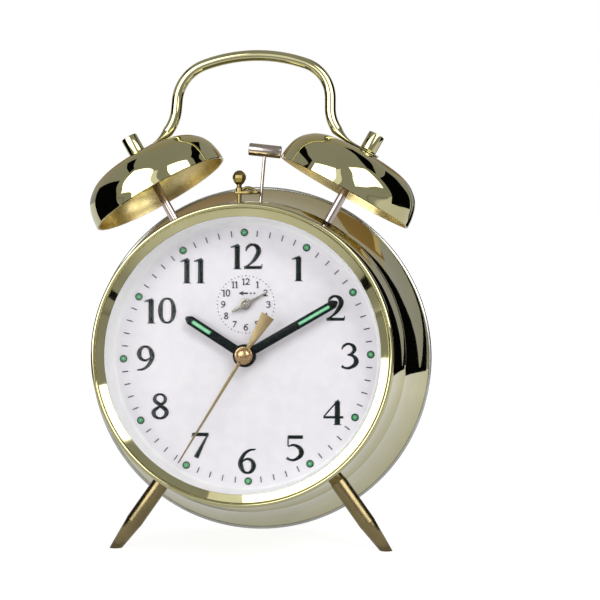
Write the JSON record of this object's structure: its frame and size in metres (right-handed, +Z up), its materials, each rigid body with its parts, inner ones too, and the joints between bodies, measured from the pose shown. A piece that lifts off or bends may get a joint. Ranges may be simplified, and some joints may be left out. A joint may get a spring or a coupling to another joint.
{
  "type": "twin-bell alarm clock",
  "caption": "Leaning wind-up alarm clock with a round flared case, two bells, a hammer, a carrying handle and a complete key-wound movement.",
  "frame": {"origin": "centre of the overall box, on the table under the clock", "axes": "+Z up from the table; -Y towards the dial side; +X to the right of someone who faces the dial"},
  "size_m": [0.12, 0.0842, 0.1657],
  "materials": {
    "polished_brass": "polished",
    "glass": "clear polished",
    "white_card": "satin white",
    "dial_card": "satin white",
    "nickel": "nickel plated",
    "steel": "polished",
    "satin_bronze": "satin",
    "train_brass": "satin",
    "blued_steel": "blued",
    "black_enamel": "gloss black",
    "gold_paint": "gold",
    "alarm_hand_silver": "silver"
  },
  "bodies": {
    "case": {"case_shell": "polished_brass", "bezel": "polished_brass", "front_glass": "glass", "reflector_ring": "white_card", "dial": "dial_card", "back_cover": "nickel", "back_cover_screws": "steel", "left_foot": "satin_bronze", "right_foot": "satin_bronze", "left_bell_post": "steel", "right_bell_post": "steel", "left_bell": "polished_brass", "right_bell": "polished_brass", "left_bell_nut": "polished_brass", "right_bell_nut": "polished_brass", "handle": "polished_brass", "front_plate": "train_brass", "back_plate": "train_brass", "pillars": "train_brass", "spacers": "steel", "mainspring": "blued_steel", "alarm_mainspring": "blued_steel"},
    "minute_group": {"minute_hand": "black_enamel", "cannon_pinion": "train_brass"},
    "hour_group": {"hour_hand": "black_enamel", "hour_tube": "train_brass", "hour_wheel": "train_brass"},
    "second_group": {"second_hand": "gold_paint", "seconds_arbor": "steel", "seconds_wheel": "train_brass"},
    "hand_setting": {"minute_wheel": "train_brass", "hand_set_arbor": "steel", "hand_set_knob": "nickel"},
    "intermediate_group": {"intermediate_arbor": "steel", "intermediate_wheel": "train_brass"},
    "third_group": {"third_arbor": "steel", "third_wheel": "train_brass"},
    "escape_group": {"escape_arbor": "steel", "escape_wheel": "train_brass"},
    "great_wheel_group": {"great_wheel": "train_brass"},
    "release_wheel_group": {"release_wheel": "train_brass"},
    "time_winding": {"winding_arbor": "steel", "time_key": "nickel"},
    "alarm_winding": {"alarm_winding_arbor": "steel", "alarm_key": "nickel"},
    "alarm_great_wheel_group": {"alarm_great_wheel": "train_brass"},
    "alarm_escape_group": {"alarm_escape_arbor": "steel", "alarm_escape_wheel": "train_brass"},
    "alarm_setting": {"alarm_set_arbor": "steel", "alarm_set_knob": "nickel", "alarm_hand": "alarm_hand_silver"},
    "balance_group": {"balance_wheel": "train_brass", "balance_staff": "steel", "hairspring": "blued_steel"},
    "pallet_lever_group": {"pallet_lever": "steel"},
    "regulator_group": {"regulator": "steel"},
    "hammer_group": {"hammer_arbor": "steel", "hammer_rod": "steel", "hammer_head": "steel"},
    "alarm_stop_group": {"alarm_stop": "steel"}
  },
  "joints": [
    {"name": "minute_hand_spin", "type": "hinge", "parent": "case", "child": "minute_group", "pos_m": [0, -0.02593, 0.06654], "axis": [0, 0.9903, -0.1392], "continuous": true},
    {"name": "hour_hand_spin", "type": "hinge", "parent": "case", "child": "hour_group", "pos_m": [0, -0.02395, 0.06626], "axis": [0, 0.9903, -0.1392], "continuous": true},
    {"name": "second_hand_spin", "type": "hinge", "parent": "case", "child": "second_group", "pos_m": [0, -0.02692, 0.06667], "axis": [0, 0.9903, -0.1392], "continuous": true},
    {"name": "hand_setting_spin", "type": "hinge", "parent": "case", "child": "hand_setting", "pos_m": [-0.00722, -0.0072, 0.05612], "axis": [0, 0.9903, -0.1392], "continuous": true},
    {"name": "intermediate_spin", "type": "hinge", "parent": "case", "child": "intermediate_group", "pos_m": [-0.014, -0.00607, 0.06414], "axis": [0, 0.9903, -0.1392], "continuous": true},
    {"name": "third_spin", "type": "hinge", "parent": "case", "child": "third_group", "pos_m": [-0.00639, -0.00511, 0.07097], "axis": [0, 0.9903, -0.1392], "continuous": true},
    {"name": "escape_spin", "type": "hinge", "parent": "case", "child": "escape_group", "pos_m": [0.00754, -0.00686, 0.05852], "axis": [0, 0.9903, -0.1392], "continuous": true},
    {"name": "great_wheel_spin", "type": "hinge", "parent": "case", "child": "great_wheel_group", "pos_m": [-0.021, -0.01487, 0.05185], "axis": [0, 0.9903, -0.1392], "continuous": true},
    {"name": "release_wheel_spin", "type": "hinge", "parent": "case", "child": "release_wheel_group", "pos_m": [0, -0.01665, 0.0823], "axis": [0, 0.9903, -0.1392], "continuous": true},
    {"name": "time_winding_turn", "type": "hinge", "parent": "case", "child": "time_winding", "pos_m": [-0.021, 0.02177, 0.0467], "axis": [0, 0.9903, -0.1392], "continuous": true},
    {"name": "alarm_winding_turn", "type": "hinge", "parent": "case", "child": "alarm_winding", "pos_m": [0.018, 0.02525, 0.07146], "axis": [0, 0.9903, -0.1392], "continuous": true},
    {"name": "alarm_great_wheel_spin", "type": "hinge", "parent": "case", "child": "alarm_great_wheel_group", "pos_m": [0.018, -0.01139, 0.07661], "axis": [0, 0.9903, -0.1392], "continuous": true},
    {"name": "alarm_escape_spin", "type": "hinge", "parent": "case", "child": "alarm_escape_group", "pos_m": [0.0081, -0.00302, 0.08584], "axis": [0, 0.9903, -0.1392], "continuous": true},
    {"name": "alarm_setting_turn", "type": "hinge", "parent": "case", "child": "alarm_setting", "pos_m": [0, -0.00377, 0.08049], "axis": [0, 0.9903, -0.1392], "continuous": true},
    {"name": "balance_swing", "type": "hinge", "parent": "case", "child": "balance_group", "pos_m": [0.02228, -0.00813, 0.04946], "axis": [0, 0.9903, -0.1392], "range_deg": [-135, 135]},
    {"name": "pallet_rock", "type": "hinge", "parent": "case", "child": "pallet_lever_group", "pos_m": [0.01367, -0.00758, 0.05343], "axis": [0, 0.9903, -0.1392], "range_deg": [-5, 5]},
    {"name": "regulator_turn", "type": "hinge", "parent": "case", "child": "regulator_group", "pos_m": [0.02228, 0.00177, 0.04807], "axis": [0, 0.9903, -0.1392], "range_deg": [-25, 25]},
    {"name": "hammer_swing", "type": "hinge", "parent": "case", "child": "hammer_group", "pos_m": [0.0026, 0.00035, 0.09112], "axis": [0, 0.9903, -0.1392], "range_deg": [-11, 0]},
    {"name": "alarm_stop_turn", "type": "hinge", "parent": "case", "child": "alarm_stop_group", "pos_m": [-0.0039, 0.00084, 0.11832], "axis": [0, 0.1392, 0.9903], "range_deg": [0, 24]}
  ],
  "couplings": [
    {"joint": "minute_hand_spin", "follows": "second_hand_spin", "ratio": 0.016667},
    {"joint": "hour_hand_spin", "follows": "second_hand_spin", "ratio": 0.0013889},
    {"joint": "hand_setting_spin", "follows": "second_hand_spin", "ratio": -0.0055556},
    {"joint": "intermediate_spin", "follows": "second_hand_spin", "ratio": 0.016667},
    {"joint": "third_spin", "follows": "second_hand_spin", "ratio": -0.13333},
    {"joint": "escape_spin", "follows": "second_hand_spin", "ratio": -6.6667},
    {"joint": "great_wheel_spin", "follows": "second_hand_spin", "ratio": -0.0033333},
    {"joint": "release_wheel_spin", "follows": "second_hand_spin", "ratio": -0.0013889},
    {"joint": "alarm_escape_spin", "follows": "alarm_great_wheel_spin", "ratio": -7.5}
  ]
}
